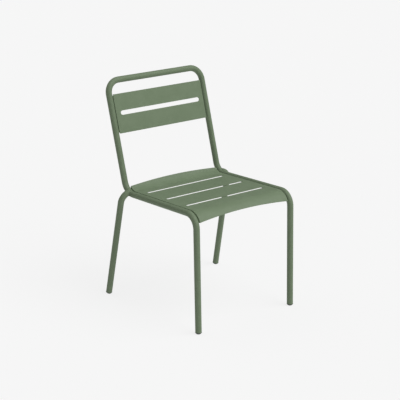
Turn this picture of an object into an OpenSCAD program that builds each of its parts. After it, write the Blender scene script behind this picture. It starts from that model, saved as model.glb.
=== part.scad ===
// Stacking chair: one bent steel tube makes the back hoop, the side rails and the
// front legs. Two bent rear legs are welded to it. A slotted seat sheet and a
// slotted back sheet are set between its two sides, and every leg has a glide.
// +Z is up, the sitter faces -Y, and the sitter's left is +X.
// The origin is on the floor, at the middle of the chair's width and depth.

/* [Frame] */
// Height of the back hoop above the floor
frame_h = 820; // [780:1:860]
// Width of the frame over its two sides
frame_w = 450; // [420:1:480]
// Outer diameter of every tube
tube_d = 23; // [20:0.5:25]
// Wall thickness of every tube
tube_wall = 1.5; // [1.2:0.1:2]
// Distance from the back of the side rails to the front, along Y
rail_run = 424; // [400:1:450]
// Height of the rail axis at the back corner
rail_rear_z = 412; // [400:1:425]
// Height of the rail axis at the front corner
rail_front_z = 436; // [426:1:450]
// Backward lean of the back, in degrees
back_lean = 16.6; // [12:0.1:20]
// Forward lean of the front legs, in degrees
leg_lean = 1.6; // [0:0.1:4]

/* [Bends of the frame tube, on its axis] */
// Radius at the corners of the back hoop
hoop_bend = 49; // [42:1:60]
// Radius between the back and the side rail
rear_bend = 52; // [46:1:58]
// Radius between the side rail and the front leg
front_bend = 49; // [44:1:56]

/* [Rear legs] */
// How far each rear foot stands out from the frame's side
foot_out = 44; // [30:1:55]
// How far each rear foot stands behind the rail's back corner
foot_back = 70; // [50:1:90]
// How far the top corner of the leg stands out from the frame's side
corner_out = 34.5; // [32:0.5:38]
// How far the top corner of the leg lies in front of the rail's back corner
corner_front = 18.5; // [14:0.5:22]
// Height of the top corner of the leg
corner_z = 411; // [405:1:416]
// Radius of the bend at the top of the leg
leg_bend = 43; // [38:1:46]
// Where the leg meets the frame's rear bend, in degrees from the rail
join_angle = 22; // [15:1:30]
// How far inside the rear bend's axis the leg meets it
join_inset = 5; // [3:0.5:6]

/* [Sheets] */
// Thickness of the seat and the back
sheet_t = 2; // [1.5:0.1:3]
// Height of the seat's top face above the rail's axis
seat_above = 7.7; // [6.5:0.1:9]
// How far the seat follows the front bend at its middle, in degrees
seat_front_turn = 56; // [40:1:62]
// How far the seat follows the rear bend at its middle, in degrees
seat_rear_turn = 62; // [30:1:66]
// Depth of the arch in the seat's front edge
seat_arch = 12; // [6:0.5:16]
// Depth of the curve of the seat's rear edge
seat_crown = 9.5; // [5:0.5:14]
// Corner radius at the back of the seat
seat_corner = 8; // [4:0.5:12]
// Lower edge of the back sheet, measured along the back from the rail corner
back_low = 217; // [190:1:230]
// Height of the back sheet
back_h = 146; // [120:1:160]
// How far the back sheet's face stands in front of the tube's axis
back_front = 5.6; // [4.5:0.1:7]
// Corner radius of the back sheet
back_corner = 5; // [2:0.5:10]

/* [Slots] */
// Length of the seat slots
seat_slot_l = 351; // [300:1:370]
// Width of the seat slots
seat_slot_w = 13; // [10:0.5:16]
// Distance of the rear slot from the rail corner
slot_first = 80; // [70:1:90]
// Distance from one seat slot to the next
slot_pitch = 118.5; // [105:0.5:122]
// Length of the slot in the back
back_slot_l = 361; // [300:1:374]
// Height of the slot in the back
back_slot_w = 16; // [10:0.5:22]
// Height of that slot's middle above the sheet's lower edge
back_slot_rise = 74.5; // [60:0.5:85]

/* [Glides] */
// Diameter of the glide's head
head_d = 24; // [23:0.5:28]
// Height of the tube's end above the floor, along the leg
head_h = 7; // [6.5:0.5:12]
// Radius of the dome under the head
dome_r = 14; // [13.5:0.5:18]
// How much of the dome is flat on the floor
dome_flat = 0.8; // [0.3:0.1:1.2]
// Length of the plug inside the tube
plug_l = 20; // [12:1:30]
// How much the plug's ribs are larger than the tube's bore, on the radius
rib_fit = 0.1; // [0:0.05:0.2]

/* [Welds] */
// Radius of the seam beads under the seat and behind the back
bead_r = 2.6; // [1.8:0.1:3]
// Length of one seam bead
bead_l = 30; // [15:1:45]
// Size of the fillet around the top of a rear leg
fillet_w = 3; // [2:0.5:4]

/* [Hidden] */
$fn = 64;
LEFT = 1;
RIGHT = -1;
SLACK = 0.02; // air between a sheet's edge and the tube it is welded to
SWELL = 0.05; // how much a bend is thicker than the straight tube, on the radius
LAP = 0.8; // how far a straight stretch reaches into a bend
CROWN_REACH = 16; // depth of the block that the rear edge's crown is cut from
ARCH_REACH = 40; // length of the disc that cuts the front edge's arch
BORE_OVERRUN = 1; // how far the bore is cut past the tube's end
FRONT_SPARE = 16; // turn of the front bend past the middle of its edge, cut away by the arch
EDGE_SPARE = 5; // how far the cutting shapes reach past the seat's edges
CORNER_LIFT = 2; // how far the seat's rear corners reach behind the crown's depth
SEAT_SLOTS = 3;
SEAT_BEADS = [80, 170, 260, 350]; // middles of the seam beads, along the rail from its corner
BACK_BEAD_INSET = 26; // middle of a bead behind the back, from the sheet's edge
BEAD_DROP = 1; // how far a bead's axis lies behind the sheet's hidden face
BEAD_INSET = 0.8; // how far a bead's axis lies inside of the sheet's edge
RIBS = [3, 8, 13]; // heights of the plug's ribs above the tube's end
RIB_H = 1.6;
PLUG_GAP = 0.8; // air between the plug's core and the bore
WELD_INSET = 3; // how far outside of the frame tube's axis the leg's weld ends
SHEET_SWELL = 0.05; // how much a bend of the seat sheet is thicker than its flat, on each face

tube_r = tube_d / 2;
bore_r = tube_r - tube_wall;
side_x = frame_w / 2 - tube_r;
head_r = head_d / 2;
top_z = frame_h - tube_r;

// Steps along Y between the corners of the frame's axis
back_step = (top_z - rail_rear_z) * tan(back_lean);
leg_step = rail_front_z * tan(leg_lean);
// The front-most rim of a front glide, measured from the leg's axis on the floor
rim_s = (dome_r - dome_flat) / cos(leg_lean) - sqrt(pow(dome_r, 2) - pow(head_r, 2));
front_reach = head_r * cos(leg_lean) - rim_s * sin(leg_lean);
depth = tube_r + back_step + rail_run + leg_step + front_reach;

// Corners of the frame's axis in the YZ plane
hoop_yz = [depth / 2 - tube_r, top_z];
rear_yz = [hoop_yz[0] - back_step, rail_rear_z];
front_yz = [rear_yz[0] - rail_run, rail_front_z];
toe_yz = [front_yz[0] - leg_step, 0];

function unit(v) = v / norm(v);
function at_x(x, yz) = [x, yz[0], yz[1]];
// Turn between two directions, in degrees
function turn(u, v) = atan2(norm(cross(u, v)), u * v);

// Directions of the rail (forward), its normal (up), the back (up) and the
// back's normal (forward), all as [X, Y, Z]
rail_dir = unit(at_x(0, front_yz - rear_yz));
rail_up = [0, rail_dir[2], -rail_dir[1]];
back_dir = unit(at_x(0, hoop_yz - rear_yz));
back_fwd = [0, -back_dir[2], back_dir[1]];
toe_dir = unit(at_x(0, toe_yz - front_yz));

rear_corner = at_x(0, rear_yz);
front_corner = at_x(0, front_yz);
rail_l = norm(front_corner - rear_corner);
rear_turn = turn(-back_dir, rail_dir);
front_turn = turn(rail_dir, toe_dir);
rear_cut = rear_bend * tan(rear_turn / 2);
front_cut = front_bend * tan(front_turn / 2);

// Points measured from the rail's rear corner, along the rail and up from it
function on_rail(along, up) = rear_corner + rail_dir * along + rail_up * up;
// Points measured from the same corner, up the back and forward from it
function on_back(along, fwd) = rear_corner + back_dir * along + back_fwd * fwd;

rear_centre = on_rail(rear_cut, rear_bend);
front_centre = on_rail(rail_l - front_cut, -front_bend);
// Direction from a bend's centre to its tube, that many degrees round from the rail
function rear_out(a) = -rail_up * cos(a) - rail_dir * sin(a);
function front_out(a) = rail_up * cos(a) + rail_dir * sin(a);

// The sheets end where the tube's side begins
seat_half = side_x - sqrt(pow(tube_r, 2) - pow(seat_above - sheet_t, 2)) - SLACK;
back_half = side_x - sqrt(pow(tube_r, 2) - pow(back_front - sheet_t, 2)) - SLACK;

frame_path = [
    at_x(side_x, toe_yz), at_x(side_x, front_yz), at_x(side_x, rear_yz), at_x(side_x, hoop_yz),
    at_x(-side_x, hoop_yz), at_x(-side_x, rear_yz), at_x(-side_x, front_yz), at_x(-side_x, toe_yz)
];
frame_bends = [0, front_bend, rear_bend, hoop_bend, hoop_bend, rear_bend, front_bend, 0];

leg_foot = [side_x + foot_out, rear_yz[0] + foot_back, 0];
leg_corner = [side_x + corner_out, rear_yz[0] - corner_front, corner_z];
leg_join = at_x(side_x, [rear_centre[1], rear_centre[2]]) + rear_out(join_angle) * (rear_bend - join_inset);
leg_dir = unit(leg_corner - leg_foot);
leg_path = [leg_foot, leg_corner, leg_join];
leg_bends = [0, leg_bend, 0];

// Puts children so that their X, Y and Z axes lie along the three given directions
module facing(x_dir, y_dir, z_dir, origin) {
    multmatrix([
        [x_dir[0], y_dir[0], z_dir[0], origin[0]],
        [x_dir[1], y_dir[1], z_dir[1], origin[1]],
        [x_dir[2], y_dir[2], z_dir[2], origin[2]],
        [0, 0, 0, 1]
    ]) children();
}

// A round bar from one point to another, its facets lined up with side_dir
module straight(from, to, r, side_dir) {
    along = unit(to - from);
    facing(side_dir, cross(along, side_dir), along, from)
        cylinder(r = r, h = norm(to - from));
}

// Functions of a path's corner i: its turn, how much it cuts off, and its bend's plane
function way(path, i) = unit(path[i + 1] - path[i]);
function corner_turn(path, i) = turn(way(path, i - 1), way(path, i));
function cut_off(path, bends, i) = bends[i] == 0 ? 0 : bends[i] * tan(corner_turn(path, i) / 2);
function bend_normal(path, i) = unit(cross(way(path, i - 1), way(path, i)));

// How far from corner i a straight stretch starts or ends
function shortened(path, bends, i) = bends[i] == 0 ? 0 : cut_off(path, bends, i) - LAP;

// A round bar that follows a path of corners, with a bend at each inner one
module bar(path, bends, r) {
    last = len(path) - 1;
    for (i = [0 : last - 1]) {
        side = bend_normal(path, max(1, min(i, last - 1)));
        start = path[i] + way(path, i) * shortened(path, bends, i);
        end = path[i + 1] - way(path, i) * shortened(path, bends, i + 1);
        straight(start, end, r, side);
    }
    for (i = [1 : last - 1]) {
        normal = bend_normal(path, i);
        inward = cross(normal, way(path, i - 1));
        centre = path[i] - way(path, i - 1) * cut_off(path, bends, i) + inward * bends[i];
        facing(-inward, way(path, i - 1), normal, centre)
            rotate_extrude(angle = corner_turn(path, i))
                translate([bends[i], 0])
                    circle(r + SWELL);
    }
}

// The path with its ends on the floor moved up to where the tube ends above the glide
function raised(path, rise) = let (last = len(path) - 1)
    [for (i = [0 : last])
        i == 0 ? path[0] + way(path, 0) * rise :
        i == last && path[last][2] == 0 ? path[last] - way(path, last - 1) * rise : path[i]];

module mirror_to(side) {
    mirror([side == LEFT ? 0 : 1, 0, 0]) children();
}

module frame_bar(r, rise) {
    bar(raised(frame_path, rise), frame_bends, r);
}

// The frame's rear bend on the left, as a solid bar, for cutting what meets it
module rear_bend_bar(r) {
    bar([at_x(side_x, front_yz), at_x(side_x, rear_yz), at_x(side_x, hoop_yz)], [0, rear_bend, 0], r);
}

module frame_tube() {
    color("darkolivegreen")
        difference() {
            frame_bar(tube_r, head_h);
            frame_bar(bore_r, head_h - BORE_OVERRUN);
        }
}

module leg_bar(r, rise) {
    bar(raised(leg_path, rise), leg_bends, r);
}

module rear_leg(side) {
    color("darkolivegreen")
        mirror_to(side)
            difference() {
                leg_bar(tube_r, head_h);
                leg_bar(bore_r, head_h - BORE_OVERRUN);
                rear_bend_bar(tube_r);
            }
}

// A flat slot with round ends, cut through along Z
module slot(length, width, depth) {
    span = length - width;
    cube([span, width, depth], center = true);
    for (x = [-span / 2, span / 2])
        translate([x, 0, 0])
            cylinder(d = width, h = depth, center = true);
}

// One bend of the seat sheet, from the rail round to the given angle.
// r is the radius of its inner face, and bend_x and bend_y span the bend's plane.
module sheet_bend(r, angle, bend_x, bend_y, centre) {
    facing(bend_x, bend_y, cross(bend_x, bend_y), centre)
        rotate_extrude(angle = angle, $fn = 180)
            translate([r - SHEET_SWELL, -seat_half])
                square([sheet_t + 2 * SHEET_SWELL, 2 * seat_half]);
}

module seat_blank() {
    flat_l = rail_l - rear_cut - front_cut;
    facing([1, 0, 0], rail_dir, -rail_up, on_rail(rear_cut, seat_above))
        translate([-seat_half, -LAP, 0])
            cube([2 * seat_half, flat_l + 2 * LAP, sheet_t]);
    under_front = front_bend + seat_above - sheet_t;
    front_sweep = seat_front_turn + FRONT_SPARE;
    sheet_bend(under_front, front_sweep, rail_up, rail_dir, front_centre);
    sheet_bend(rear_bend - seat_above, seat_rear_turn, -rail_up, -rail_dir, rear_centre);
}

// Radius of an arc with this rise over the seat's width
function arc_radius(rise) = (pow(seat_half, 2) + pow(rise, 2)) / (2 * rise);

// Cuts the front edge to an arch: a wide disc standing square to the front lip
module front_arch() {
    radius = arc_radius(seat_arch);
    out = front_out(seat_front_turn);
    down = front_out(seat_front_turn + 90);
    facing([1, 0, 0], cross(out, [1, 0, 0]), out, front_centre + out * front_bend + down * radius)
        cylinder(r = radius, h = ARCH_REACH, center = true, $fn = 256);
}

// Cuts the rear edge to a crown with round corners: what lies outside of a disc
module rear_crown() {
    radius = arc_radius(seat_crown);
    out = rear_out(seat_rear_turn);
    back = rear_out(seat_rear_turn + 90);
    edge = rear_centre + out * (rear_bend - seat_above);
    block_w = 2 * (seat_half + EDGE_SPARE);
    block_d = seat_crown + seat_corner + EDGE_SPARE;
    facing([1, 0, 0], back, cross([1, 0, 0], back), edge)
        difference() {
            translate([0, (EDGE_SPARE - seat_crown - seat_corner) / 2, 0])
                cube([block_w, block_d, CROWN_REACH], center = true);
            crown_outline(radius);
        }
}

// The solid that the rear edge keeps: a wide disc, with the corners rounded off
module crown_outline(radius) {
    corner_x = seat_half - seat_corner;
    corner_y = CORNER_LIFT - seat_crown - seat_corner;
    keep_l = seat_crown + 6 * seat_corner;
    linear_extrude(height = CROWN_REACH + LAP, center = true)
        intersection() {
            translate([0, -radius])
                circle(radius, $fn = 256);
            union() {
                translate([-corner_x, -keep_l])
                    square([2 * corner_x, keep_l + EDGE_SPARE]);
                translate([-seat_half - 2 * EDGE_SPARE, -keep_l])
                    square([2 * seat_half + 4 * EDGE_SPARE, keep_l + corner_y]);
                for (side = [LEFT, RIGHT])
                    translate([side * (corner_x + SWELL), corner_y])
                        circle(seat_corner);
            }
        }
}

module seat_sheet() {
    color("olivedrab")
        difference() {
            seat_blank();
            front_arch();
            rear_crown();
            for (row = [0 : SEAT_SLOTS - 1])
                facing([1, 0, 0], rail_dir, -rail_up, on_rail(slot_first + row * slot_pitch, seat_above))
                    slot(seat_slot_l, seat_slot_w, 4 * sheet_t);
        }
}

module back_sheet() {
    inner_w = 2 * (back_half - back_corner);
    color("olivedrab")
        facing([1, 0, 0], back_dir, -back_fwd, on_back(back_low + back_h / 2, back_front - sheet_t / 2))
            difference() {
                union() {
                    cube([inner_w, back_h, sheet_t], center = true);
                    cube([2 * back_half, back_h - 2 * back_corner, sheet_t], center = true);
                    for (x = [-inner_w / 2, inner_w / 2], y = [-1, 1])
                        translate([x, y * (back_h / 2 - back_corner), 0])
                            cylinder(r = back_corner, h = sheet_t, center = true);
                }
                translate([0, back_slot_rise - back_h / 2, 0])
                    slot(back_slot_l, back_slot_w, 4 * sheet_t);
            }
}

// A glide, in the leg's own frame: Z runs up the leg from the floor
module glide_body(lean) {
    dome_z = (dome_r - dome_flat) / cos(lean);
    intersection() {
        cylinder(r = head_r, h = head_h);
        translate([0, 0, dome_z])
            sphere(dome_r, $fn = 96);
    }
    translate([0, 0, head_h])
        cylinder(r = bore_r - PLUG_GAP, h = plug_l);
    for (z = RIBS)
        translate([0, 0, head_h + z])
            cylinder(r = bore_r + rib_fit, h = RIB_H);
}

module glide(foot, up_dir) {
    sideways = unit(cross(up_dir, [0, -1, 0]));
    lean = turn(up_dir, [0, 0, 1]);
    color("dimgray")
        difference() {
            facing(sideways, cross(up_dir, sideways), up_dir, foot)
                glide_body(lean);
            translate(foot - [0, 0, head_d])
                cube([4 * head_d, 4 * head_d, 2 * head_d], center = true);
        }
}

module front_glide(side) {
    mirror_to(side)
        glide(frame_path[0], -toe_dir);
}

module rear_glide(side) {
    mirror_to(side)
        glide(leg_foot, leg_dir);
}

// The weld around a rear leg's top: what is near both the leg and the frame tube
module weld_leg(side) {
    join_way = unit(leg_join - leg_corner);
    near_end = leg_join - join_way * WELD_INSET;
    far_end = leg_join - join_way * 2 * tube_r;
    color("darkolivegreen")
        mirror_to(side)
            difference() {
                intersection() {
                    rear_bend_bar(tube_r + fillet_w);
                    straight(far_end, near_end, tube_r + fillet_w, [0, 0, 1]);
                }
                rear_bend_bar(tube_r);
                straight(far_end - join_way, leg_join, tube_r + SWELL, [0, 0, 1]);
            }
}

// One bead along a direction, with round ends
module bead(centre, along) {
    facing([1, 0, 0], cross(along, [1, 0, 0]), along, centre) {
        cylinder(r = bead_r, h = bead_l - 2 * bead_r, center = true);
        for (z = [-1, 1])
            translate([0, 0, z * (bead_l / 2 - bead_r)])
                sphere(bead_r);
    }
}

module weld_seat(side) {
    up = seat_above - sheet_t - BEAD_DROP;
    edge = [seat_half - BEAD_INSET, 0, 0];
    color("darkolivegreen")
        mirror_to(side)
            difference() {
                for (along = SEAT_BEADS)
                    bead(on_rail(along, up) + edge, rail_dir);
                rear_bend_bar(tube_r);
                seat_sheet();
            }
}

module weld_back(side) {
    first = back_low + BACK_BEAD_INSET;
    last = back_low + back_h - BACK_BEAD_INSET;
    forward = back_front - sheet_t - BEAD_DROP;
    edge = [back_half - BEAD_INSET, 0, 0];
    color("darkolivegreen")
        mirror_to(side)
            difference() {
                for (along = [first, last])
                    bead(on_back(along, forward) + edge, back_dir);
                rear_bend_bar(tube_r);
                back_sheet();
            }
}

frame_tube();
rear_leg(LEFT);  // rear_leg_left
rear_leg(RIGHT);  // rear_leg_right
seat_sheet();
back_sheet();
front_glide(LEFT);  // glide_front_left
front_glide(RIGHT);  // glide_front_right
rear_glide(LEFT);  // glide_rear_left
rear_glide(RIGHT);  // glide_rear_right
weld_leg(LEFT);  // weld_leg_left
weld_leg(RIGHT);  // weld_leg_right
weld_seat(LEFT);  // weld_seat_left
weld_seat(RIGHT);  // weld_seat_right
weld_back(LEFT);  // weld_back_left
weld_back(RIGHT);  // weld_back_right
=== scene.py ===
"""Finished look of the stacking chair: bent tubes, slotted sheets, welds, glides and their coats.

Lengths are in metres. +Z is up, the sitter faces -Y, and the sitter's left is +X.
"""

import math

import bmesh
import bpy
from mathutils import Matrix, Vector, noise


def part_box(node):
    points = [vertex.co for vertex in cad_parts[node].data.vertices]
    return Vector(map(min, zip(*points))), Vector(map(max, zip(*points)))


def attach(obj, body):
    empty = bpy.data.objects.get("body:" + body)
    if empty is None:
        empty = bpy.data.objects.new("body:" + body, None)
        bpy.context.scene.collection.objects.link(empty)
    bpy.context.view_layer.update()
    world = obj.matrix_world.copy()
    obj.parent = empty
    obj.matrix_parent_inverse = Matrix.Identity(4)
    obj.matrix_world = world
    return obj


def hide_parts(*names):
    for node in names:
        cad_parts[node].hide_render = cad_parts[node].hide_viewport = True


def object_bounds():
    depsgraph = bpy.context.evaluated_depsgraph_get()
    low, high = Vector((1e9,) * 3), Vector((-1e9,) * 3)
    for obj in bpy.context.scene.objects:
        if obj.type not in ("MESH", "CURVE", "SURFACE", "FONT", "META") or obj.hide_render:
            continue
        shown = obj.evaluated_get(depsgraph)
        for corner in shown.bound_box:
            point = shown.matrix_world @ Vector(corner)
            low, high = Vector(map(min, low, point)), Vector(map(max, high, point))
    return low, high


bl_info = {
    "name": "Stacking Chair",
    "version": (1, 0, 0),
    "blender": (4, 5, 0),
    "location": "View3D > Sidebar > Chair",
    "description": "Builds a welded stacking chair of bent tube and slotted sheet",
    "category": "Object",
}

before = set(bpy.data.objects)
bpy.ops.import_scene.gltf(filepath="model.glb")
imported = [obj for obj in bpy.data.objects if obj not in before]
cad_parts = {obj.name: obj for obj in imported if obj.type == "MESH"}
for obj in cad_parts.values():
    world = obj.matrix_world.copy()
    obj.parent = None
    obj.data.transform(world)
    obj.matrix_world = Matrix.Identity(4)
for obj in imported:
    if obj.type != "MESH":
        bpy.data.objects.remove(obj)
CAD_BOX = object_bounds()
FRAME_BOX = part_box("frame_tube")
GLIDE_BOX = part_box("glide_front_left")
BOX_SPARE = 0.0001  # how much wider the frame's box is than its tube
FRAME_WIDTH = FRAME_BOX[1].x - FRAME_BOX[0].x - BOX_SPARE

ROOT = "root"
SIDES = (("left", 1), ("right", -1))
X_AXIS = Vector((1, 0, 0))
Z_AXIS = Vector((0, 0, 1))

TUBE_SIDES = 64  # facets round a tube
BEND_STEP = math.radians(4)  # turn between two rings of a tube bend
FOLD_STEP = math.radians(3)  # turn between two fold lines of a sheet bend
SHARP = math.radians(20)  # edges that turn more than this stay crisp
LEG_END = 0.003  # distance from the frame's axis at which a rear leg ends
EDGE_CUTS = 47  # points along a curved sheet edge
SLOT_SIDES = 32  # points round the two ends of a slot
EDGE_ROUND = 0.00035  # rounding of a sheet's cut edges under the coat
GUARD = 0.0008  # narrow band beside a fold that keeps the flat's shading flat
SEAM_BITE = 0.0001  # how far a side strip is pressed against the tube
STRIP_HOLD = 0.0001  # how far a side strip is set into the sheet above it
STRIP_SET = 0.00015  # how far a side strip stands in from the sheet's cut edge
CORNER_SHARE = 0.4  # where the seat's strips start in its rounded corner, as a share of its radius
STRIP_END = 0.001  # how far a side strip stops short of the sheet's front edge
LATHE_STEPS = 72  # facets round a glide
CUT_SNAP = 1e-7  # how near a cut a point counts as on it
POLE_MERGE, RIM_MERGE = 1e-6, 1e-5  # how near points of a glide's pole and a bead's rims are joined
RIPPLE_PITCH = 0.0012  # distance from one weld ripple to the next
RIPPLE_SHAPE = (1.0, 0.25, 0.0, 0.35)  # how far each ring of a ripple lies below its top, as a share
RIPPLE_DEPTH = 0.09  # depth of a ripple, as a share of the bead's radius
RIPPLE_WOBBLE = 0.06  # how unevenly a bead swells, as a share of its radius
WOBBLE_RATE = 300  # swellings of a bead per metre
BEAD_SIDES = 16  # facets round a bead
COLLAR_STEPS = 120  # places round a rear leg where its weld's line is worked out
EASING = 120  # rounds of smoothing of that line
BEAD_TIP = 0.15  # size of a bead's end face, as a share of its radius
SEAT_BEADS = (0.080, 0.170, 0.260, 0.350)  # middles of the seat's beads, from the rail corner
BACK_BEAD_INSET = 0.026  # middle of a bead behind the back, from the sheet's edge
BEAD_DROP = 2  # how far a seam bead lies past the tube's axis, in strip drops
HALVINGS = 24  # rounds of halving in a search
BEAD_SINK = 0.97  # how far out a leg's weld runs, as a share of the leg's radius
END_ROUND = 0.003  # rounding of a rear leg's closed end
END_STEPS = 5  # rings of that rounding
LONGEST_COPE = 0.020  # furthest from its end that a rear leg's side meets the frame
LIGHT_STAND = 4  # distance of a light's stand from the chair
SENSOR = 36.0  # width of the camera's sensor in millimetres
NEAREST, FURTHEST = 0.1, 100.0  # between these distances the camera sees

SHEET_CUT = math.radians(60)  # edges that turn more than this are a sheet's cut ones
ROUND_STEPS = 2  # facets across the rounding of a cut edge
CORNER_STEPS = 6  # facets round a sheet's corner
FEWEST_STEPS = 4  # fewest rings in a tube bend

DOME_STEPS = 12  # rings from the middle of a glide's dome to its rim
RIM_SOFT = 0.0004  # rounding of a glide head's rim
RIM_HALFWAY = 0.3  # how far that rounding's middle point is cut back, as a share of it
PLUG_GAP = 0.0008  # air between a plug and its tube, between the ribs
PLUG_TIP = 0.001  # size of the taper at a plug's end
RIBS = (0.003, 0.008, 0.013)  # where the ribs of a plug start, above the head
RIB_OUT, RIB_TOP, RIB_END = 0.0003, 0.0013, 0.0016  # where a rib is full, leaves off and ends


# Driving sizes


def length(name, description, default):
    """A length that the user can change."""
    return bpy.props.FloatProperty(
        name=name, description=description, default=default, min=0.0001, unit="LENGTH", precision=4
    )


def angle(name, description, degrees):
    """An angle that the user can change, stored in radians."""
    kind = {"subtype": "ANGLE", "unit": "ROTATION"}
    return bpy.props.FloatProperty(
        name=name, description=description, default=math.radians(degrees), **kind
    )


def colour(name, description, default):
    """A colour that the user can change."""
    return bpy.props.FloatVectorProperty(
        name=name, description=description, default=default, size=3, min=0.0, max=1.0, subtype="COLOR"
    )


def share(name, description, default, top=1.0):
    """A plain factor that the user can change."""
    return bpy.props.FloatProperty(
        name=name, description=description, default=default, min=0.0, max=top
    )


class ChairSizes(bpy.types.PropertyGroup):
    """Sizes of the chair's tubes, sheets and glides"""

    frame_height: length("Frame height", "Top of the back hoop above the floor", FRAME_BOX[1].z)
    frame_width: length("Frame width", "Width over the frame's two sides", FRAME_WIDTH)
    depth: length("Depth", "Depth over the front glides and the hoop", CAD_BOX[1].y - CAD_BOX[0].y)
    tube: length("Tube", "Outer diameter of every tube", 0.023)
    wall: length("Tube wall", "Wall thickness of every tube", 0.0015)
    rail_run: length("Rail run", "Length of the side rail, from corner to corner", 0.424)
    rail_rear: length("Rail rear height", "Rail axis height at its back corner", 0.412)
    rail_front: length("Rail front height", "Rail axis height at its front corner", 0.436)
    back_lean: angle("Back lean", "Backward lean of the back", 16.6)
    leg_lean: angle("Leg lean", "Forward lean of the front legs", 1.6)
    hoop_bend: length("Hoop bend", "Bend radius at the hoop's corners", 0.049)
    rear_bend: length("Rear bend", "Bend radius between back and rail", 0.052)
    front_bend: length("Front bend", "Bend radius between rail and front leg", 0.049)

    foot_out: length("Foot out", "Rear foot, out from the frame's side", 0.044)
    foot_back: length("Foot back", "Rear foot, behind the rail's back corner", 0.070)
    corner_out: length("Leg corner out", "Leg's top corner, out from the frame's side", 0.0345)
    corner_front: length("Leg corner front", "Leg's top corner, before the rail's back corner", 0.0185)
    corner_height: length("Leg corner height", "Height of the rear leg's top corner", 0.411)
    leg_bend: length("Leg bend", "Bend radius at the rear leg's top", 0.043)
    join_angle: angle("Join angle", "Where the rear leg meets the rear bend, from the rail", 22)
    join_inset: length("Join inset", "How far inside the bend's axis the leg meets it", 0.005)

    sheet: length("Sheet", "Thickness of the seat and back sheets", 0.002)
    seat_above: length("Seat above rail", "Seat's top face above the rail's axis", 0.0077)
    seat_front_turn: angle("Seat front turn", "How far the seat's middle follows the front bend", 56)
    seat_rear_turn: angle("Seat rear turn", "How far the seat's middle follows the rear bend", 62)
    seat_arch: length("Seat arch", "Depth of the arch in the front edge", 0.012)
    seat_crown: length("Seat crown", "Depth of the rear edge's curve", 0.0095)
    seat_corner: length("Seat corner", "Radius of the seat's rear corners", 0.008)
    back_low: length("Back low edge", "Back sheet's lower edge, up from the rail corner", 0.217)
    back_height: length("Back height", "Height of the back sheet", 0.146)
    back_front: length("Back front", "Back sheet's face in front of the tube's axis", 0.0056)
    back_corner: length("Back corner", "Radius of the back sheet's corners", 0.005)
    seat_gap: length("Seat gap", "Gap between the seat's cut edge and the rail's widest line", 0.0028)
    back_gap: length("Back gap", "The same between the back's cut edge and its post", 0.0014)
    strip_drop: length("Strip drop", "How far a side strip reaches past the tube's axis", 0.0005)

    seat_slot: length("Seat slot length", "Length of the seat's slots", 0.351)
    seat_slot_width: length("Seat slot width", "Width of the seat's slots", 0.013)
    slot_first: length("First slot", "Rear slot's distance from the rail corner", 0.080)
    slot_pitch: length("Slot pitch", "Distance between the seat's slots", 0.1185)
    back_slot: length("Back slot length", "Length of the back's slot", 0.361)
    back_slot_width: length("Back slot height", "Height of the back's slot", 0.016)
    back_slot_rise: length("Back slot rise", "Slot's middle above the back sheet's lower edge", 0.0745)

    head: length("Glide head", "Diameter of a glide's head", GLIDE_BOX[1].x - GLIDE_BOX[0].x)
    head_height: length("Glide height", "Tube end's height above the floor, along the leg", 0.007)
    dome: length("Glide dome", "Radius of the dome under the head", 0.014)
    dome_flat: length("Glide flat", "How much of the dome is flat on the floor", 0.0008)
    plug: length("Plug length", "Length of the glide's plug in the tube", 0.020)

    bead: length("Seam bead", "Radius of the seam beads", 0.0024)
    bead_length: length("Seam bead length", "Length of one seam bead", 0.030)
    collar_bead: length("Leg weld bead", "Radius of the weld round a rear leg's top", 0.0027)


class ChairFinish(bpy.types.PropertyGroup):
    """Colours and gloss of the chair's finishes"""

    tube_deep: colour("Tube coat", "Colour of the tubes' coat", (0.128, 0.174, 0.103))
    tube_light: colour("Tube coat, light", "The tubes' colour where lighter", (0.139, 0.186, 0.113))
    sheet_deep: colour("Sheet coat", "Colour of the sheets' coat", (0.136, 0.186, 0.110))
    sheet_light: colour("Sheet coat, light", "The sheets' colour where lighter", (0.148, 0.199, 0.121))
    rubbed: colour("Rubbed", "Colour where hands have polished the coat", (0.160, 0.205, 0.135))
    coat_rough: share("Coat roughness", "Roughness of the powder coat", 0.52)
    peel: length("Peel size", "Size of the powder coat's texture", 0.0009)
    plastic: colour("Plastic", "Colour of the glides", (0.030, 0.033, 0.030))
    plastic_rough: share("Plastic roughness", "Roughness of the glides", 0.55)


class ChairStudio(bpy.types.PropertyGroup):
    """Camera, lights and floor"""

    azimuth: angle("Azimuth", "Camera's turn about the chair, from the front", -37.345)
    elevation: angle("Elevation", "Camera's height above the horizon", 18.151)
    stand: bpy.props.FloatVectorProperty(
        name="Camera stand",
        description="Place of the camera",
        default=(-2.6179, -3.4366, 1.7981),
        unit="LENGTH",
    )
    lens: share("Lens", "Focal length in millimetres", 110.73, 500)
    floor_size: length("Floor size", "Side of the floor", 60.0)
    floor_colour: colour("Floor", "Colour of the floor", (0.10, 0.10, 0.10))
    floor_glow: share("Floor glow", "How much the floor is lit from within", 0.818, 10)
    backdrop: share("Backdrop", "Brightness of the wall behind the floor", 0.92, 10)
    sky: share("Sky", "Strength of the even light from all round", 0.25, 10)
    key: share("Key", "Strength of the soft light in front", 2.65, 100)
    key_azimuth: angle("Key azimuth", "Where the key light stands, from the front", 30)
    key_elevation: angle("Key elevation", "Height of the key light above the horizon", 52)
    rear: share("Rear light", "Strength of the soft light behind", 0.5, 100)
    rear_azimuth: angle("Rear azimuth", "Where the rear light stands, from the front", -165)
    rear_elevation: angle("Rear elevation", "Height of the rear light above the horizon", 55)
    spread: angle("Spread", "How wide each light is, seen from the chair", 50)


# The chair's lines


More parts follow.
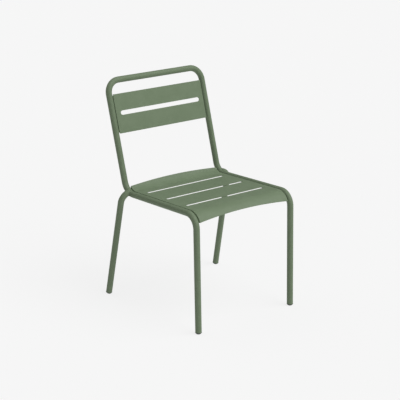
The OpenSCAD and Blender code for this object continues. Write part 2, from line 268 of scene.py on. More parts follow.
class SideStrip:
    """The strip folded down from a sheet's side: it leans out and meets the tube beside it."""

    def __init__(self, size, seam_x, face, gap):
        self.edge = seam_x - gap
        self.top = -size.sheet + STRIP_HOLD
        self.bottom = -face - size.strip_drop
        self.lean = gap + STRIP_SET
        self.middle = self.edge - STRIP_SET - size.sheet / 2 + self.lean / 2

    def add_to(self, mesh, start, end, thickness):
        """Adds both strips to a flat blank, from one place along it to another."""
        height = self.top - self.bottom
        for side in (1, -1):
            place = Matrix((
                (thickness, 0, -side * self.lean, side * self.middle),
                (0, end - start, 0, (start + end) / 2),
                (0, 0, height, (self.top + self.bottom) / 2),
                (0, 0, 0, 1),
            ))
            made = bmesh.ops.create_cube(mesh, size=1.0, matrix=place)
            edges = dict.fromkeys(edge for vert in made["verts"] for edge in vert.link_edges)
            rounded(mesh, list(edges), EDGE_ROUND, ROUND_STEPS, "EDGES")


class Skeleton:
    """The chair's corner points and directions, worked out from its sizes."""

    def __init__(self, size):
        self.size = size
        self.tube_r = size.tube / 2
        self.side_x = size.frame_width / 2 - self.tube_r
        top_z = size.frame_height - self.tube_r
        hoop_y = size.depth / 2 - self.tube_r
        rear_y = hoop_y - (top_z - size.rail_rear) * math.tan(size.back_lean)
        front_y = rear_y - size.rail_run
        toe_y = front_y - size.rail_front * math.tan(size.leg_lean)
        self.hoop = Vector((0, hoop_y, top_z))
        self.rear = Vector((0, rear_y, size.rail_rear))
        self.front = Vector((0, front_y, size.rail_front))
        self.toe = Vector((0, toe_y, 0))

        self.rail_dir = (self.front - self.rear).normalized()
        self.rail_up = self.rail_dir.cross(X_AXIS)
        self.back_dir = (self.hoop - self.rear).normalized()
        self.back_fwd = X_AXIS.cross(self.back_dir)
        toe_dir = (self.toe - self.front).normalized()
        self.rail_length = (self.front - self.rear).length
        self.rear_cut = size.rear_bend * math.tan((-self.back_dir).angle(self.rail_dir) / 2)
        self.front_cut = size.front_bend * math.tan(self.rail_dir.angle(toe_dir) / 2)
        self.rear_centre = self.on_rail(self.rear_cut, size.rear_bend)
        self.front_centre = self.on_rail(self.rail_length - self.front_cut, -size.front_bend)
        self.seam_x = self.side_x - self.tube_r + SEAM_BITE
        self.seat_strip = SideStrip(size, self.seam_x, size.seat_above, size.seat_gap)
        self.back_strip = SideStrip(size, self.seam_x, size.back_front, size.back_gap)

    def on_rail(self, along, up, x=0.0):
        """A point measured along the rail from its back corner, and up from its axis."""
        return self.rear + self.rail_dir * along + self.rail_up * up + X_AXIS * x

    def on_back(self, along, forward, x=0.0):
        """A point measured up the back from the same corner, and forward from its axis."""
        return self.rear + self.back_dir * along + self.back_fwd * forward + X_AXIS * x

    def rear_out(self, turn):
        """Direction from the rear bend's centre to its tube, that far round from the rail."""
        return -self.rail_up * math.cos(turn) - self.rail_dir * math.sin(turn)

    def front_out(self, turn):
        """The same at the front bend."""
        return self.rail_up * math.cos(turn) + self.rail_dir * math.sin(turn)

    def frame_corners(self):
        """Corners of the frame's axis, from the left toe round to the right one."""
        half = [self.toe, self.front, self.rear, self.hoop]
        left = [point + X_AXIS * self.side_x for point in half]
        right = [point - X_AXIS * self.side_x for point in reversed(half)]
        return left + right

    def leg_corners(self, side):
        """Corners of a rear leg's axis, from its foot up to the frame's axis."""
        size = self.size
        foot = Vector((side * (self.side_x + size.foot_out), self.rear.y + size.foot_back, 0))
        corner_y = self.rear.y - size.corner_front
        corner = Vector((side * (self.side_x + size.corner_out), corner_y, size.corner_height))
        reach = size.rear_bend - size.join_inset
        join = self.rear_centre + self.rear_out(size.join_angle) * reach + X_AXIS * side * self.side_x
        return [foot, corner, join]

    def off_rear_bend(self, point, side):
        """Distance from a point to the surface of the frame tube at its rear bend or rail."""
        flat = Vector((0, point.y, point.z)) - self.rear_centre
        turn = math.atan2(-flat.dot(self.rail_dir), -flat.dot(self.rail_up))
        if turn < 0:
            axis_gap = -flat.dot(self.rail_up) - self.size.rear_bend
        else:
            axis_gap = flat.length - self.size.rear_bend
        return math.hypot(axis_gap, point.x - side * self.side_x) - self.tube_r


# Mesh work


def outward(azimuth, elevation):
    """Direction out from the chair, turned from its front and raised above the horizon."""
    flat = math.cos(elevation)
    return Vector((math.sin(azimuth) * flat, -math.cos(azimuth) * flat, math.sin(elevation)))


def turned_to(direction, origin):
    """Matrix that stands Z along a direction at a point."""
    return Matrix.Translation(origin) @ direction.to_track_quat("Z", "X").to_matrix().to_4x4()


def rounded(mesh, geom, radius, steps, affect):
    """Rounds corners or edges."""
    shape = {"offset": radius, "offset_type": "OFFSET", "segments": steps, "profile": 0.5}
    bmesh.ops.bevel(mesh, geom=geom, affect=affect, material=-1, clamp_overlap=True, **shape)


def finish_piece(name, mesh, node, slot):
    """Makes an object of a bmesh, rides it on the chair and lets it stand for its CAD node."""
    if not mesh.faces or not all(edge.is_manifold for edge in mesh.edges):
        raise RuntimeError(f"{name} isn't closed")
    data = bpy.data.meshes.new(name)
    mesh.to_mesh(data)
    mesh.free()
    data.polygons.foreach_set("use_smooth", [True] * len(data.polygons))
    data.set_sharp_from_angle(angle=SHARP)
    data.materials.append(slot_material(slot))
    piece = bpy.data.objects.new(name, data)
    bpy.context.scene.collection.objects.link(piece)
    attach(piece, ROOT)
    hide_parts(node)


def new_edges(made):
    """The edges in what an operator returns."""
    return [item for item in made if isinstance(item, bmesh.types.BMEdge)]


def new_verts(made):
    """The vertices in what an operator returns."""
    return [item for item in made if isinstance(item, bmesh.types.BMVert)]


class TubeBender:
    """Draws a ring-shaped rim along straights and bends, which leaves the tube's walls behind it.

    The first rim is given as faces alone, so it stays and ends the tube. Each later one goes in
    with its edges, so that only its outline stays.
    """

    def __init__(self, start, direction, radius, wall):
        self.mesh = bmesh.new()
        self.wall = wall
        place = turned_to(direction, start)
        bmesh.ops.create_circle(
            self.mesh, cap_ends=True, segments=TUBE_SIDES, radius=radius, matrix=place
        )
        disc = self.mesh.faces[:]
        self.rim = bmesh.ops.inset_region(
            self.mesh, faces=disc, thickness=wall, use_boundary=True, use_even_offset=True
        )["faces"]
        bmesh.ops.delete(self.mesh, geom=disc, context="FACES")

    def feed(self, step):
        """Pushes the tube straight on."""
        self.rim = bmesh.ops.extrude_face_region(self.mesh, geom=self.rim)["geom"]
        bmesh.ops.translate(self.mesh, verts=new_verts(self.rim), vec=step)

    def bend(self, centre, axis, turn):
        """Draws the tube round a bend's centre."""
        steps = max(FEWEST_STEPS, round(turn / BEND_STEP))
        about = {"cent": centre, "axis": axis, "angle": turn, "steps": steps}
        made = bmesh.ops.spin(self.mesh, geom=self.rim, use_duplicate=False, **about)
        self.rim = made["geom_last"]

    def round_off(self, way):
        """Closes the far end: the outer wall turns in over the bore, which gets an end of its own."""
        bmesh.ops.delete(self.mesh, geom=self.rim, context="FACES")
        open_edges = [edge for edge in self.mesh.edges if edge.is_boundary]
        centre = sum((edge.verts[0].co for edge in open_edges), Vector()) / len(open_edges)
        reaches = [(edge.verts[0].co - centre).length for edge in open_edges]
        full = max(reaches)
        between = full - self.wall / 2
        outer = [edge for edge, far in zip(open_edges, reaches) if far > between]
        bore = [edge for edge, far in zip(open_edges, reaches) if far <= between]
        radius, reach = full, 0.0
        for step in range(1, END_STEPS + 1):
            turn = math.pi / 2 * step / END_STEPS
            wanted = full - END_ROUND * (1 - math.cos(turn))
            push = END_ROUND * math.sin(turn) - reach
            made = bmesh.ops.extrude_edge_only(self.mesh, edges=outer)["geom"]
            verts = new_verts(made)
            outer = [edge for edge in new_edges(made) if set(edge.verts) <= set(verts)]
            bmesh.ops.translate(self.mesh, verts=verts, vec=way * push)
            centre += way * push
            shrink = Matrix.Scale(wanted / radius, 4)
            here = Matrix.Translation(-centre)
            bmesh.ops.transform(self.mesh, matrix=shrink, space=here, verts=verts)
            radius, reach = wanted, reach + push
        for ring in (outer, bore):
            bmesh.ops.edgeloop_fill(self.mesh, edges=ring)

    def closed(self):
        """The finished tube."""
        self.mesh.normal_update()
        bmesh.ops.recalc_face_normals(self.mesh, faces=self.mesh.faces)
        return self.mesh


def bent_tube(corners, bends, radius, wall, start_gap, end_gap, rounded_end=False):
    """A hollow tube along a line of corners, with a bend radius at each inner one."""
    ways = [(b - a).normalized() for a, b in zip(corners, corners[1:])]
    turns = [0.0] + [a.angle(b) for a, b in zip(ways, ways[1:])] + [0.0]
    cuts = [bend * math.tan(turn / 2) for bend, turn in zip(bends, turns)]
    cuts[0], cuts[-1] = start_gap, end_gap
    bender = TubeBender(corners[0] + ways[0] * start_gap, ways[0], radius, wall)
    for index, way in enumerate(ways):
        run = (corners[index + 1] - corners[index]).length - cuts[index] - cuts[index + 1]
        bender.feed(way * run)
        if index + 1 < len(ways):
            axis = way.cross(ways[index + 1]).normalized()
            bend_start = corners[index + 1] - way * cuts[index + 1]
            centre = bend_start + axis.cross(way) * bends[index + 1]
            bender.bend(centre, axis, turns[index + 1])
    if rounded_end:
        bender.round_off(ways[-1])
    return bender.closed()


def slot_loop(mesh, centre, slot_length, slot_width):
    """The outline of a slot with round ends, lying along X."""
    half_step = math.pi / SLOT_SIDES
    place = Matrix.Translation(centre) @ Matrix.Rotation(half_step, 4, "Z")
    radius = slot_width / 2 / math.cos(half_step)
    made = bmesh.ops.create_circle(
        mesh, cap_ends=False, segments=SLOT_SIDES, radius=radius, matrix=place
    )
    shift = (slot_length - slot_width) / 2
    for side in (1, -1):
        end = [vert for vert in made["verts"] if (vert.co.x - centre.x) * side > 0]
        bmesh.ops.translate(mesh, verts=end, vec=X_AXIS * side * shift)


def blank_outline(mesh, half_width, low, high, corners_at, corner_radius):
    """A rectangle whose low and high edges are divided, with some of its corners rounded."""
    places = ((-1, low), (1, low), (1, high), (-1, high))
    verts = [mesh.verts.new((side * half_width, y, 0)) for side, y in places]
    for here, after in zip(verts, verts[1:] + verts[:1]):
        mesh.edges.new((here, after))
    corners = [vert for vert in verts if vert.co.y in corners_at]
    rounded(mesh, corners, corner_radius, CORNER_STEPS, "VERTICES")
    long_edges = [
        edge for edge in mesh.edges if abs(edge.verts[0].co.x - edge.verts[1].co.x) > half_width
    ]
    bmesh.ops.subdivide_edges(mesh, edges=long_edges, cuts=EDGE_CUTS)


def sheet_blank(mesh, thickness):
    """Fills the outlines, gives the sheet its thickness and rounds its cut edges."""
    bmesh.ops.triangle_fill(
        mesh, use_beauty=True, use_dissolve=False, edges=mesh.edges[:], normal=Z_AXIS
    )
    if not mesh.faces:
        raise RuntimeError("the sheet's outline could not be filled")
    made = bmesh.ops.extrude_face_region(mesh, geom=mesh.faces[:])["geom"]
    bmesh.ops.translate(mesh, verts=new_verts(made), vec=Z_AXIS * -thickness)
    bmesh.ops.recalc_face_normals(mesh, faces=mesh.faces)
    cut_edges = [edge for edge in mesh.edges if edge.calc_face_angle(0) > SHEET_CUT]
    rounded(mesh, cut_edges, EDGE_ROUND, ROUND_STEPS, "EDGES")


def fold_line(mesh, point, across):
    """Scores the whole sheet along a straight line."""
    everything = mesh.verts[:] + mesh.edges[:] + mesh.faces[:]
    bmesh.ops.bisect_plane(mesh, geom=everything, dist=CUT_SNAP, plane_co=point, plane_no=across)


# Pieces


def seat_piece(bones):
    """The seat: a slotted blank, bent at its front and its rear."""
    size = bones.size
    rear_r = size.rear_bend - size.seat_above
    front_r = size.front_bend + size.seat_above
    flat_end = bones.rail_length - bones.front_cut
    low = bones.rear_cut - rear_r * size.seat_rear_turn
    high = flat_end + front_r * size.seat_front_turn

    mesh = bmesh.new()
    strip = bones.seat_strip
    blank_outline(mesh, strip.edge, low, high, (low,), size.seat_corner)
    for vert in mesh.verts:
        across = (vert.co.x / strip.edge) ** 2
        vert.co.y += across * (size.seat_crown if vert.co.y < flat_end else size.seat_arch)
    for row in range(3):
        centre = Vector((0, size.slot_first + row * size.slot_pitch, 0))
        slot_loop(mesh, centre, size.seat_slot, size.seat_slot_width)
    sheet_blank(mesh, size.sheet)

    strip_start = low + size.seat_crown + size.seat_corner * CORNER_SHARE
    strip.add_to(mesh, strip_start, high + size.seat_arch - STRIP_END, size.sheet)

    rear_folds = math.ceil((size.seat_rear_turn + size.seat_crown / rear_r) / FOLD_STEP)
    front_folds = math.ceil((size.seat_front_turn + size.seat_arch / front_r) / FOLD_STEP)
    rows = [bones.rear_cut - fold * FOLD_STEP * rear_r for fold in range(rear_folds + 1)]
    rows += [flat_end + fold * FOLD_STEP * front_r for fold in range(front_folds + 1)]
    for row in (*rows, bones.rear_cut + GUARD, flat_end - GUARD):
        fold_line(mesh, (0, row, 0), (0, 1, 0))
    for vert in mesh.verts:
        x, y, z = vert.co
        if y < bones.rear_cut:
            turn = (bones.rear_cut - y) / rear_r
            vert.co = bones.rear_centre + bones.rear_out(turn) * (rear_r - z) + X_AXIS * x
        elif y > flat_end:
            turn = (y - flat_end) / front_r
            vert.co = bones.front_centre + bones.front_out(turn) * (front_r + z) + X_AXIS * x
        else:
            vert.co = bones.on_rail(y, size.seat_above + z, x)
    # The blank runs forward, towards -Y, and laying it down that way mirrors it.
    bmesh.ops.reverse_faces(mesh, faces=mesh.faces)
    finish_piece("seat_panel", mesh, "seat_sheet", "sheet_coat")


def back_piece(bones):
    """The back: a flat slotted blank."""
    size = bones.size
    low, high = size.back_low, size.back_low + size.back_height
    mesh = bmesh.new()
    strip = bones.back_strip
    blank_outline(mesh, strip.edge, low, high, (low, high), size.back_corner)
    slot_loop(mesh, Vector((0, low + size.back_slot_rise, 0)), size.back_slot, size.back_slot_width)
    sheet_blank(mesh, size.sheet)
    strip.add_to(mesh, low + size.back_corner, high - size.back_corner, size.sheet)
    for vert in mesh.verts:
        x, y, z = vert.co
        vert.co = bones.on_back(y, size.back_front + z, x)
    finish_piece("back_panel", mesh, "back_sheet", "sheet_coat")


def glide_mesh(bones, foot, up):
    """A glide: a moulded head with a dome, and a ribbed plug up inside the tube."""
    size = bones.size
    head_r, top = size.head / 2, size.head_height
    bore_r = bones.tube_r - size.wall
    lean = up.angle(Z_AXIS)
    dome_z = (size.dome - size.dome_flat) / math.cos(lean)
    rim_turn = math.asin(head_r / size.dome)
    outline = [(0.0, dome_z - size.dome)]
    for step in range(1, DOME_STEPS + 1):
        turn = rim_turn * step / DOME_STEPS
        outline.append((size.dome * math.sin(turn), dome_z - size.dome * math.cos(turn)))
    inner_r = bore_r - PLUG_GAP
    outline += [
        (head_r, top - RIM_SOFT),
        (head_r - RIM_SOFT * RIM_HALFWAY, top - RIM_SOFT * RIM_HALFWAY),
        (head_r - RIM_SOFT, top),
        (inner_r, top),
    ]
    for rib in RIBS:
        outline += [
            (inner_r, top + rib),
            (bore_r, top + rib + RIB_OUT),
            (bore_r, top + rib + RIB_TOP),
            (inner_r, top + rib + RIB_END),
        ]
    end = top + size.plug
    outline += [(inner_r, end - PLUG_TIP), (inner_r - PLUG_TIP, end), (0.0, end)]

    mesh = bmesh.new()
    verts = [mesh.verts.new((radius, 0, z)) for radius, z in outline]
    edges = [mesh.edges.new(pair) for pair in zip(verts, verts[1:])]
    about = {"cent": (0, 0, 0), "axis": Z_AXIS, "angle": math.tau, "steps": LATHE_STEPS}
    bmesh.ops.spin(mesh, geom=verts + edges, use_merge=True, **about)
    bmesh.ops.remove_doubles(mesh, verts=mesh.verts, dist=POLE_MERGE)
    bmesh.ops.transform(mesh, matrix=turned_to(up, foot), verts=mesh.verts)
    everything = mesh.verts[:] + mesh.edges[:] + mesh.faces[:]
    cut = bmesh.ops.bisect_plane(
        mesh, geom=everything, dist=CUT_SNAP, plane_co=(0, 0, 0), plane_no=(0, 0, 1), clear_inner=True
    )
    bmesh.ops.holes_fill(mesh, edges=new_edges(cut["geom_cut"]), sides=0)
    bmesh.ops.recalc_face_normals(mesh, faces=mesh.faces)
    return mesh


def bead_places(points, away, radius, closed=False):
    """Where the rings of a weld bead stand: rippled, and rounded at the ends of an open bead."""
    count, places = len(points), []
    for index, here in enumerate(points):
        before = points[index - 1] if index or closed else here
        after = points[(index + 1) % count] if index + 1 < count or closed else here
        way = (after - before).normalized()
        across = away(here)
        across = (across - way * across.dot(way)).normalized()
        swell = radius * (1 - RIPPLE_DEPTH * RIPPLE_SHAPE[index % len(RIPPLE_SHAPE)])
        swell *= 1 + RIPPLE_WOBBLE * noise.noise(here * WOBBLE_RATE)
        if not closed:
            from_end = min(index, count - 1 - index) * RIPPLE_PITCH / len(RIPPLE_SHAPE)
            short = max(0.0, 1 - from_end / radius)
            swell *= max(BEAD_TIP, math.sqrt(1 - short * short))
        place = Matrix((across * swell, way.cross(across) * swell, way)).transposed().to_4x4()
        place.translation = here
        places.append(place)
    return places


def weld_bead(mesh, places, closed=False):
    """Draws one skin through a bead's rings. The last ring of a closed bead meets the first."""
    start = bmesh.ops.create_circle(
        mesh, cap_ends=True, segments=BEAD_SIDES, radius=1.0, matrix=places[0]
    )
    first = start["verts"][0].link_faces[0]
    disc = [first]
    following = places[1:] + places[:1] if closed else places[1:]
    for here, after in zip(places, following):
        disc = bmesh.ops.extrude_face_region(mesh, geom=disc)["geom"]
        bmesh.ops.transform(mesh, matrix=after @ here.inverted(), verts=new_verts(disc))
    if closed:
        rims = start["verts"] + new_verts(disc)
        caps = [first] + [item for item in disc if isinstance(item, bmesh.types.BMFace)]
        bmesh.ops.delete(mesh, geom=caps, context="FACES_ONLY")
        bmesh.ops.remove_doubles(mesh, verts=rims, dist=RIM_MERGE)


def weld_mesh(bead_lines, away, radius, closed=False):
    """All beads of one weld, each drawn along its own line."""
    mesh = bmesh.new()
    for line in bead_lines:
        points = evenly(line, RIPPLE_PITCH / len(RIPPLE_SHAPE), closed)
        weld_bead(mesh, bead_places(points, away, radius, closed), closed)
    mesh.normal_update()
    bmesh.ops.recalc_face_normals(mesh, faces=mesh.faces)
    return mesh


def evenly(points, pitch, closed=False):
    """Points along a line of points, about one pitch apart and evenly spaced over the whole of it."""
    if closed:
        points = points + points[:1]
    runs = [(after - here).length for here, after in zip(points, points[1:])]
    steps = max(1, round(sum(runs) / pitch))
    spaced, run, passed = [], 0, 0.0
    for step in range(steps if closed else steps + 1):
        wanted = sum(runs) * step / steps
        while run + 1 < len(runs) and wanted > passed + runs[run]:
            passed += runs[run]
            run += 1
        spaced.append(points[run].lerp(points[run + 1], min(1.0, (wanted - passed) / runs[run])))
    return spaced


def eased(ring):
    """A closed line of points with its tight corners rounded off, so that a bead can follow it."""
    ring = evenly(ring, RIPPLE_PITCH / len(RIPPLE_SHAPE), closed=True)
    for _pass in range(EASING):
        neighbours = zip(ring[-1:] + ring[:-1], ring, ring[1:] + ring[:1])
        ring = [(before + here + after) / 3 for before, here, after in neighbours]
    return ring


def halved(gap, inside, outside):
    """Where a gap changes from below zero, inside, to above it, outside."""
    for _halving in range(HALVINGS):
        middle = (inside + outside) / 2
        inside, outside = (middle, outside) if gap(middle) < 0 else (inside, middle)
    return outside


def collar_line(bones, side):
    """The line round a rear leg's top where it meets the frame tube."""
    _foot, corner, join = bones.leg_corners(side)
    way = (join - corner).normalized()
    place = turned_to(way, join)
    line = []
    for step in range(COLLAR_STEPS):
        turn = math.tau * step / COLLAR_STEPS
        offset = place.to_3x3() @ Vector((math.cos(turn), math.sin(turn), 0)) * bones.tube_r
        end = join - way * LEG_END
        if bones.off_rear_bend(end + offset, side) > 0:
            out = halved(lambda part: bones.off_rear_bend(end + offset * part, side), 0, 1)
            line.append(end + offset * out)
        else:
            edge = join + offset
            down = halved(lambda part: bones.off_rear_bend(edge - way * part, side), 0, LONGEST_COPE)
            line.append(join + offset * BEAD_SINK - way * down)
    return line


# Shading

DRIFT_SIZE = 0.035  # size of the slow changes in a coat's depth
MOTTLE_PEELS, FLOW_PEELS = 3, 6  # sizes of a coat's mottle and waves, in peel sizes
HANDLED_SIZE = 0.11  # size of the areas that hands have polished
MOTTLE_TINTS, HANDLED_TINTS = 0.12, 0.16  # how far each moves the colour to the rubbed one
DRIFT_DULLS, MOTTLE_DULLS, HANDLED_SHINES = 0.05, 0.06, 0.07  # their changes in roughness
PEEL_PART = 0.7  # the peel's share of a coat's relief, beside its waves
COAT_RELIEF = {"Strength": 0.7, "Distance": 0.00022}
COAT_IOR, PLASTIC_IOR = 1.38, 1.49
PLASTIC_DRIFT = 0.006  # size of the changes in the plastic's depth
PLASTIC_PALE = 1.35  # how much lighter the plastic drifts
PLASTIC_RELIEF = {"Strength": 0.25, "Distance": 0.00008}
GRAIN_SIZE = 0.0005  # size of the plastic's eroded grain
SCUFF_SIZE = 0.0016
SCUFF_HEIGHTS = (0.0006, 0.0030)  # a glide is scuffed below the first and clean above the second
SCUFF_TINTS, SCUFF_DULLS = 0.6, 0.25
SCUFF_COLOUR = (0.10, 0.10, 0.095, 1)
FLOOR_DRIFT = 2.5  # size of the changes in the floor's tone
FLOOR_DEEP = 0.998  # the floor's deeper tone, as a share of its colour
FLOOR_ROUGH = 0.9


class Value:
    """A shader number or colour, whose arithmetic adds Math nodes."""

    def __init__(self, graph, socket):
        self.graph = graph
        self.socket = socket

    def maths(self, operation, first, second):
        """One Math node."""
        return self.graph.node("ShaderNodeMath", {"operation": operation}, {0: first, 1: second})

    def __add__(self, other):
        return self.maths("ADD", self, other)

    def __radd__(self, other):
        return self.maths("ADD", other, self)

    def __sub__(self, other):
        return self.maths("SUBTRACT", self, other)

    def __rsub__(self, other):
        return self.maths("SUBTRACT", other, self)

    def __mul__(self, other):
        return self.maths("MULTIPLY", self, other)

    def __rmul__(self, other):
        return self.maths("MULTIPLY", other, self)

    def between(self, low, high):
        """0 below low, 1 above high, smooth in between."""
        settings = {"interpolation_type": "SMOOTHSTEP", "clamp": True}
        inputs = {"Value": self, "From Min": low, "From Max": high}
        return self.graph.node("ShaderNodeMapRange", settings, inputs)


class Graph:
    """A material's node tree, built one call at a time."""

    def __init__(self, name):
        self.material = bpy.data.materials.new(name)
        self.material.use_nodes = True
        self.tree = self.material.node_tree
        self.tree.nodes.clear()

    @classmethod
    def of_tree(cls, tree):
        """Builds in a tree that something else owns, such as the world's."""
        graph = cls.__new__(cls)
        graph.tree = tree
        tree.nodes.clear()
        return graph

    def node(self, kind, settings=None, inputs=None, output=0):
        """Adds a node, sets it up, and gives one of its outputs, if it has any."""
        made = self.tree.nodes.new(kind)
        for key, value in (settings or {}).items():
            setattr(made, key, value)
        for key, value in (inputs or {}).items():
            socket = made.inputs[key]
            if isinstance(value, Value):
                self.tree.links.new(value.socket, socket)
            else:
                socket.default_value = value
        return Value(self, made.outputs[output]) if made.outputs else None

    def place(self):
        """The point's place on the chair."""
        return self.node("ShaderNodeTexCoord", output="Object")

    def cloud(self, place, size, detail=2.0, roughness=0.5):
        """Noise whose blotches are about that large."""
        inputs = {"Vector": place, "Scale": 1.0 / size, "Detail": detail, "Roughness": roughness}
        return self.node("ShaderNodeTexNoise", None, inputs, "Fac")

    def blend(self, factor, first, second):
        """A colour between two colours."""
        inputs = {"Factor": factor, 6: first, 7: second}
        return self.node("ShaderNodeMix", {"data_type": "RGBA"}, inputs, 2)

    def bump(self, height, relief):
        """A surface direction from a height."""
        return self.node("ShaderNodeBump", None, {**relief, "Height": height}, "Normal")

    def surface(self, inputs):
        """Ends the tree in one Principled surface."""
        shader = self.node("ShaderNodeBsdfPrincipled", None, inputs)
        self.node("ShaderNodeOutputMaterial", None, {"Surface": shader})
        return self.material


def coat(name, finish, deep, light):
    """Satin powder coat: a fine even texture, with a slow drift in depth and gloss."""
    graph = Graph(name)
    place = graph.place()
    drift = graph.cloud(place, DRIFT_SIZE, detail=3.0).between(0.3, 0.7)
    mottle = graph.cloud(place, finish.peel * MOTTLE_PEELS, detail=2.0).between(0.25, 0.75)
    handled = graph.cloud(place, HANDLED_SIZE, detail=4.0, roughness=0.62).between(0.56, 0.78)
    tone = graph.blend(drift, (*deep, 1), (*light, 1))
    tone = graph.blend(mottle * MOTTLE_TINTS, tone, (*finish.rubbed, 1))
    tone = graph.blend(handled * HANDLED_TINTS, tone, (*finish.rubbed, 1))
    rough = finish.coat_rough + drift * DRIFT_DULLS + mottle * MOTTLE_DULLS
    rough = rough - handled * HANDLED_SHINES
    peel = graph.cloud(place, finish.peel, detail=2.0, roughness=0.55)
    flow = graph.cloud(place, finish.peel * FLOW_PEELS, detail=1.0)
    bump = graph.bump(peel * PEEL_PART + flow * (1 - PEEL_PART), COAT_RELIEF)
    return graph.surface({"Base Color": tone, "Roughness": rough, "Normal": bump, "IOR": COAT_IOR})


def moulded_plastic(name, finish):
    """Dark moulded plastic: eroded grain, and a foot that is scuffed by the floor."""
    graph = Graph(name)
    place = graph.place()
    height = graph.node("ShaderNodeSeparateXYZ", None, {"Vector": place}, "Z")
    scuffs = graph.cloud(place, SCUFF_SIZE, detail=3.0).between(0.42, 0.62)
    worn = (1 - height.between(*SCUFF_HEIGHTS)) * scuffs
    drift = graph.cloud(place, PLASTIC_DRIFT, detail=2.0).between(0.3, 0.7)
    pale = [part * PLASTIC_PALE for part in finish.plastic]
    tone = graph.blend(drift * 0.5, (*finish.plastic, 1), (*pale, 1))
    tone = graph.blend(worn * SCUFF_TINTS, tone, SCUFF_COLOUR)
    rough = finish.plastic_rough + worn * SCUFF_DULLS + drift * 0.06
    bump = graph.bump(graph.cloud(place, GRAIN_SIZE, detail=2.0), PLASTIC_RELIEF)
    return graph.surface({"Base Color": tone, "Roughness": rough, "Normal": bump, "IOR": PLASTIC_IOR})


def floor_paint(studio):
    """The studio's pale seamless floor."""
    graph = Graph("floor_paint")
    place = graph.place()
    drift = graph.cloud(place, FLOOR_DRIFT, detail=1.0)
    low = [part * FLOOR_DEEP for part in studio.floor_colour]
    tone = graph.blend(drift, (*low, 1), (*studio.floor_colour, 1))
    glow = {"Emission Color": (1.0, 1.0, 1.0, 1.0), "Emission Strength": studio.floor_glow}
    matt = {"Roughness": FLOOR_ROUGH, "Specular IOR Level": 0.0}
    return graph.surface({"Base Color": tone, **matt, **glow})


def slot_material(slot):
    """The material of a slot, made the first time that it is asked for."""
    finish = bpy.context.scene.chair_finish
    if slot == "glide":
        return bpy.data.materials.get("glide_plastic") or moulded_plastic("glide_plastic", finish)
    part = slot.removesuffix("_coat")
    name = f"{part}_powder_coat"
    deep, light = getattr(finish, f"{part}_deep"), getattr(finish, f"{part}_light")
    return bpy.data.materials.get(name) or coat(name, finish, deep, light)


# Operators


def stood(scene, name, data, place, away):
    """Stands a light or a camera at a place, looking back along a direction."""
    thing = bpy.data.objects.new(name, data)
    thing.location = place
    thing.rotation_mode = "QUATERNION"
    thing.rotation_quaternion = (-away).to_track_quat("-Z", "Y")
    scene.collection.objects.link(thing)
    return thing


class CHAIR_OT_frame_tube(bpy.types.Operator):
    """Bends the one long tube: front legs, side rails and back hoop"""

    bl_idname = "chair.frame_tube"
    bl_label = "Frame Tube"

    def execute(self, context):
        size = context.scene.chair_sizes
        bones = Skeleton(size)
        bends = [0, size.front_bend, size.rear_bend, size.hoop_bend]
        bends += [size.hoop_bend, size.rear_bend, size.front_bend, 0]
        way = (bones.front - bones.toe).normalized()
        start = size.head_height / way.z
        mesh = bent_tube(bones.frame_corners(), bends, bones.tube_r, size.wall, start, start)
        finish_piece("bent_frame", mesh, "frame_tube", "tube_coat")
        return {"FINISHED"}


class CHAIR_OT_rear_legs(bpy.types.Operator):
    """Bends the two rear legs"""

    bl_idname = "chair.rear_legs"
    bl_label = "Rear Legs"

    def execute(self, context):
        size = context.scene.chair_sizes
        bones = Skeleton(size)
        bends = [0, size.leg_bend, 0]
        gaps = (size.head_height, LEG_END + END_ROUND)
        for name, side in SIDES:
            corners = bones.leg_corners(side)
            mesh = bent_tube(corners, bends, bones.tube_r, size.wall, *gaps, rounded_end=True)
            finish_piece(f"splayed_leg_{name}", mesh, f"rear_leg_{name}", "tube_coat")
        return {"FINISHED"}


class CHAIR_OT_seat(bpy.types.Operator):
    """Cuts and bends the slotted seat"""

    bl_idname = "chair.seat"
    bl_label = "Seat"

    def execute(self, context):
        seat_piece(Skeleton(context.scene.chair_sizes))
        return {"FINISHED"}


class CHAIR_OT_back(bpy.types.Operator):
    """Cuts the slotted back"""

    bl_idname = "chair.back"
    bl_label = "Back"

    def execute(self, context):
        back_piece(Skeleton(context.scene.chair_sizes))
        return {"FINISHED"}


class CHAIR_OT_glides(bpy.types.Operator):
    """Turns the four glides"""

    bl_idname = "chair.glides"
    bl_label = "Glides"

    def execute(self, context):
        bones = Skeleton(context.scene.chair_sizes)
        front_up = (bones.front - bones.toe).normalized()
        for name, side in SIDES:
            toe = bones.toe + X_AXIS * side * bones.side_x
            foot, corner, _join = bones.leg_corners(side)
            feet = (("front", toe, front_up), ("rear", foot, (corner - foot).normalized()))
            for end, point, up in feet:
                node = f"glide_{end}_{name}"
                finish_piece(f"moulded_{node}", glide_mesh(bones, point, up), node, "glide")
        return {"FINISHED"}


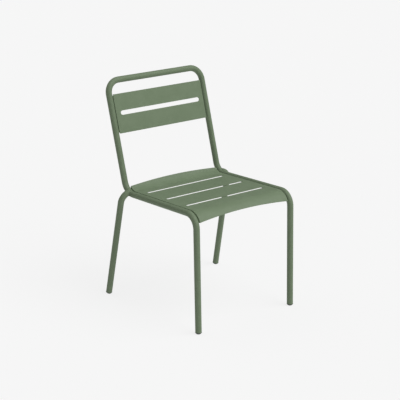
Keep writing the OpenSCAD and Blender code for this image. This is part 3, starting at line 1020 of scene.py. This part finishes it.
class CHAIR_OT_welds(bpy.types.Operator):
    """Lays the weld round each rear leg and the seams of the seat and the back"""

    bl_idname = "chair.welds"
    bl_label = "Welds"

    def execute(self, context):
        size = context.scene.chair_sizes
        bones = Skeleton(size)
        out = bones.seam_x - size.sheet / 2
        under = -size.strip_drop * BEAD_DROP
        reach = size.bead_length / 2
        back_ends = (size.back_low, size.back_low + size.back_height)
        back_beads = (back_ends[0] + BACK_BEAD_INSET, back_ends[1] - BACK_BEAD_INSET)
        seams = (
            ("seat", bones.on_rail, bones.rail_up, SEAT_BEADS),
            ("back", bones.on_back, bones.back_fwd, back_beads),
        )
        for name, side in SIDES:
            ring = eased(collar_line(bones, side))
            middle = sum(ring, Vector()) / len(ring)
            collar = weld_mesh([ring], lambda point: point - middle, size.collar_bead, closed=True)
            finish_piece(f"leg_seam_{name}", collar, f"weld_leg_{name}", "tube_coat")
            for part, on_axis, up, beads in seams:
                lines = [
                    [on_axis(at + half * reach, under, side * out) for half in (-1, 1)] for at in beads
                ]
                seam = weld_mesh(lines, lambda _point: up, size.bead)
                finish_piece(f"{part}_seam_{name}", seam, f"weld_{part}_{name}", "sheet_coat")
        return {"FINISHED"}


class CHAIR_OT_studio(bpy.types.Operator):
    """Sets up the floor, the lights and the camera"""

    bl_idname = "chair.studio"
    bl_label = "Studio"

    def execute(self, context):
        scene = context.scene
        studio = scene.chair_studio

        mesh = bmesh.new()
        bmesh.ops.create_grid(mesh, x_segments=1, y_segments=1, size=studio.floor_size / 2)
        data = bpy.data.meshes.new("studio_floor")
        mesh.to_mesh(data)
        mesh.free()
        data.materials.append(floor_paint(studio))
        floor = bpy.data.objects.new("studio_floor", data)
        scene.collection.objects.link(floor)

        world = bpy.data.worlds.new("studio_world")
        world.use_nodes = True
        room = Graph.of_tree(world.node_tree)
        white = (1.0, 1.0, 1.0, 1.0)
        light = room.node("ShaderNodeBackground", None, {"Color": white, "Strength": studio.sky})
        wall = room.node("ShaderNodeBackground", None, {"Color": white, "Strength": studio.backdrop})
        seen = room.node("ShaderNodeLightPath", output="Is Camera Ray")
        both = room.node("ShaderNodeMixShader", None, {0: seen, 1: light, 2: wall})
        room.node("ShaderNodeOutputWorld", None, {"Surface": both})
        scene.world = world

        lights = (
            ("key_light", studio.key, outward(studio.key_azimuth, studio.key_elevation)),
            ("rear_light", studio.rear, outward(studio.rear_azimuth, studio.rear_elevation)),
        )
        for name, strength, towards in lights:
            lamp = bpy.data.lights.new(name, "SUN")
            lamp.energy = strength
            lamp.angle = studio.spread
            stood(scene, name, lamp, towards * LIGHT_STAND, towards)

        lens = bpy.data.cameras.new("studio_camera")
        lens.lens = studio.lens
        lens.sensor_width = SENSOR
        lens.clip_start, lens.clip_end = NEAREST, FURTHEST
        back = outward(studio.azimuth, studio.elevation)
        scene.camera = stood(scene, "studio_camera", lens, studio.stand, back)
        scene.view_settings.view_transform = "Standard"
        return {"FINISHED"}


class CHAIR_PT_panel(bpy.types.Panel):
    """Sidebar panel with the chair's pieces, sizes and finishes"""

    bl_idname = "CHAIR_PT_panel"
    bl_label = "Stacking Chair"
    bl_space_type = "VIEW_3D"
    bl_region_type = "UI"
    bl_category = "Chair"

    def draw(self, context):
        layout = self.layout
        for operator in PIECE_OPERATORS:
            layout.operator(operator.bl_idname)
        for title, group in (
            ("Sizes", context.scene.chair_sizes),
            ("Finish", context.scene.chair_finish),
            ("Studio", context.scene.chair_studio),
        ):
            box = layout.box()
            box.label(text=title)
            for key in group.bl_rna.properties.keys():
                if key not in {"rna_type", "name"}:
                    box.prop(group, key)


PIECE_OPERATORS = (
    CHAIR_OT_frame_tube,
    CHAIR_OT_rear_legs,
    CHAIR_OT_seat,
    CHAIR_OT_back,
    CHAIR_OT_glides,
    CHAIR_OT_welds,
    CHAIR_OT_studio,
)
SETTINGS = (
    ("chair_sizes", ChairSizes),
    ("chair_finish", ChairFinish),
    ("chair_studio", ChairStudio),
)
CLASSES = (*(group for _name, group in SETTINGS), *PIECE_OPERATORS, CHAIR_PT_panel)


def register():
    """Adds the classes and the scene's settings."""
    for item in CLASSES:
        bpy.utils.register_class(item)
    for name, group in SETTINGS:
        setattr(bpy.types.Scene, name, bpy.props.PointerProperty(type=group))


def unregister():
    """Takes them out again."""
    for name, _group in SETTINGS:
        delattr(bpy.types.Scene, name)
    for item in reversed(CLASSES):
        bpy.utils.unregister_class(item)


def main():
    """Builds the whole chair."""
    register()
    bpy.ops.chair.frame_tube()
    bpy.ops.chair.rear_legs()
    bpy.ops.chair.seat()
    bpy.ops.chair.back()
    bpy.ops.chair.glides()
    bpy.ops.chair.welds()
    bpy.ops.chair.studio()


if __name__ == "__main__":
    main()
